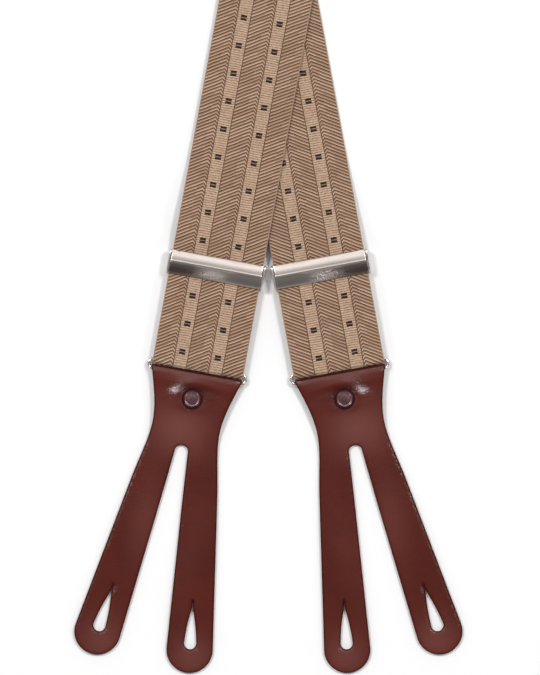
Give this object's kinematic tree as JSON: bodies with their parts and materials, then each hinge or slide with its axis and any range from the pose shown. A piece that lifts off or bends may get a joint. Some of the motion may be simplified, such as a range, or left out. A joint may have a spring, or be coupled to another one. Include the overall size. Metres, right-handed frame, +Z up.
{
  "type": "suspenders",
  "caption": "Button-on elastic suspenders laid out flat, with striped webbing, slide adjusters, wire rings, a leather yoke and forked leather button tabs.",
  "frame": {"origin": "on the surface that the suspenders lie on, under the middle of their length and width", "axes": "+Y from the front tabs to the back tab, +X to the right as seen from above, +Z up out of the surface"},
  "size_m": [0.1602, 1.1334, 0.007],
  "materials": {
    "webbing": "woven elastic, twill bands and ribbed light stripes",
    "tab_leather": "glossy, smooth grain",
    "adjuster_nickel": "satin nickel",
    "ring_wire": "bright nickel plate",
    "antique_rivet": "antique dark, worn bright at the rim"
  },
  "bodies": {
    "root": {"left_strap": "webbing", "right_strap": "webbing", "yoke_back": "tab_leather", "yoke_front": "tab_leather", "back_strap": "webbing"},
    "left_end": {"left_strap_loop": "webbing", "left_return_strap": "webbing"},
    "left_adjuster": {"left_adjuster_frame": "adjuster_nickel", "left_adjuster_pin": "ring_wire", "left_strap_end": "webbing"},
    "left_lever": {"left_adjuster_lever": "adjuster_nickel"},
    "left_ring": {"left_ring": "ring_wire"},
    "left_tab": {"left_tab": "tab_leather", "left_rivet_cap": "antique_rivet", "left_rivet_back": "antique_rivet"},
    "right_end": {"right_strap_loop": "webbing", "right_return_strap": "webbing"},
    "right_adjuster": {"right_adjuster_frame": "adjuster_nickel", "right_adjuster_pin": "ring_wire", "right_strap_end": "webbing"},
    "right_lever": {"right_adjuster_lever": "adjuster_nickel"},
    "right_ring": {"right_ring": "ring_wire"},
    "right_tab": {"right_tab": "tab_leather", "right_rivet_cap": "antique_rivet", "right_rivet_back": "antique_rivet"},
    "back_ring": {"back_ring": "ring_wire"},
    "back_tab": {"back_tab": "tab_leather", "back_rivet_cap": "antique_rivet", "back_rivet_back": "antique_rivet"}
  },
  "joints": [
    {"name": "left_length_slide", "type": "slide", "parent": "root", "child": "left_end", "axis": [0.1814, 0.9834, 0], "range_m": [-0.018, 0.002], "deforming": ["left_strap"]},
    {"name": "left_adjuster_slide", "type": "slide", "parent": "left_end", "child": "left_adjuster", "axis": [0.1814, 0.9834, 0], "range_m": [-0.018, 0.002], "deforming": ["left_return_strap"]},
    {"name": "left_lever_hinge", "type": "hinge", "parent": "left_adjuster", "child": "left_lever", "pos_m": [-0.0209, -0.39625, 0.0059], "axis": [-0.9834, 0.1814, 0], "range_deg": [0, 100]},
    {"name": "left_ring_hinge", "type": "hinge", "parent": "left_end", "child": "left_ring", "pos_m": [-0.02899, -0.44013, 0.0022], "axis": [-0.9834, 0.1814, 0], "range_deg": [0, 70]},
    {"name": "left_tab_hinge", "type": "hinge", "parent": "left_ring", "child": "left_tab", "pos_m": [-0.02977, -0.44436, 0.0022], "axis": [-0.9834, 0.1814, 0], "range_deg": [0, 80]},
    {"name": "right_length_slide", "type": "slide", "parent": "root", "child": "right_end", "axis": [-0.1814, 0.9834, 0], "range_m": [-0.018, 0.002], "deforming": ["right_strap"]},
    {"name": "right_adjuster_slide", "type": "slide", "parent": "right_end", "child": "right_adjuster", "axis": [-0.1814, 0.9834, 0], "range_m": [-0.018, 0.002], "deforming": ["right_return_strap"]},
    {"name": "right_lever_hinge", "type": "hinge", "parent": "right_adjuster", "child": "right_lever", "pos_m": [0.0209, -0.39625, 0.0059], "axis": [0.9834, 0.1814, 0], "range_deg": [-100, 0]},
    {"name": "right_ring_hinge", "type": "hinge", "parent": "right_end", "child": "right_ring", "pos_m": [0.02899, -0.44013, 0.0022], "axis": [0.9834, 0.1814, 0], "range_deg": [-70, 0]},
    {"name": "right_tab_hinge", "type": "hinge", "parent": "right_ring", "child": "right_tab", "pos_m": [0.02977, -0.44436, 0.0022], "axis": [0.9834, 0.1814, 0], "range_deg": [-80, 0]},
    {"name": "back_ring_hinge", "type": "hinge", "parent": "root", "child": "back_ring", "pos_m": [0, 0.44177, 0.0022], "axis": [1, 0, 0], "range_deg": [0, 70]},
    {"name": "back_tab_hinge", "type": "hinge", "parent": "back_ring", "child": "back_tab", "pos_m": [0, 0.44606, 0.0022], "axis": [1, 0, 0], "range_deg": [0, 80]}
  ],
  "couplings": [
    {"joint": "left_adjuster_slide", "follows": "left_length_slide", "ratio": 1},
    {"joint": "right_adjuster_slide", "follows": "right_length_slide", "ratio": 1}
  ]
}
